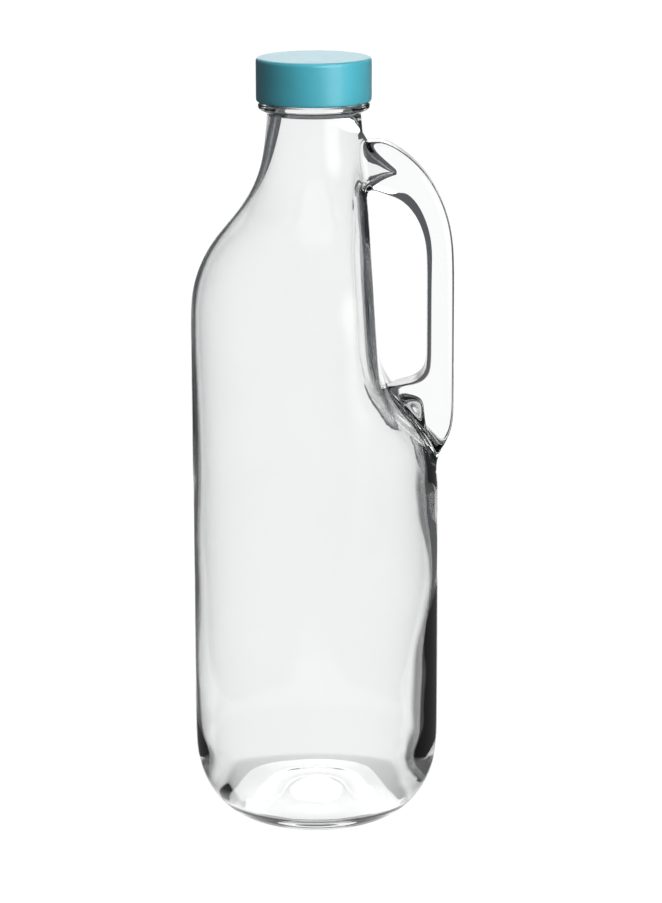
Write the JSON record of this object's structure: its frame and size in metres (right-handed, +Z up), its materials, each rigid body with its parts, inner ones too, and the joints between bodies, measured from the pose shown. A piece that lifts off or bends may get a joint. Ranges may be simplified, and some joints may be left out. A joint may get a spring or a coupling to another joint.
{
  "type": "water jug",
  "caption": "Tall clear glass water jug with rounded shoulders, a glass loop handle at one side, a short screw neck and a plain turquoise screw cap with a sealing disc.",
  "frame": {"origin": "middle of the ring that the jug stands on, on the axis of the bottle", "axes": "+Z up along the bottle's axis, +X towards the handle, -Y to the front"},
  "size_m": [0.1038, 0.098, 0.3067],
  "materials": {
    "clear_glass": "polished",
    "cap_plastic": "satin",
    "liner_rubber": "matte"
  },
  "bodies": {
    "jug": {"glass_jug": "clear_glass"},
    "liner": {"seal_liner": "liner_rubber"},
    "cap": {"screw_cap": "cap_plastic"}
  },
  "joints": [
    {"name": "cap_lift", "type": "slide", "parent": "jug", "child": "liner", "axis": [0, 0, 1], "range_m": [0, 0.024]},
    {"name": "cap_turn", "type": "hinge", "parent": "liner", "child": "cap", "pos_m": [0, 0, 0.299], "axis": [0, 0, 1], "range_deg": [0, 720]}
  ],
  "couplings": [
    {"joint": "cap_lift", "follows": "cap_turn", "m_per_rad": 0.0019099}
  ]
}
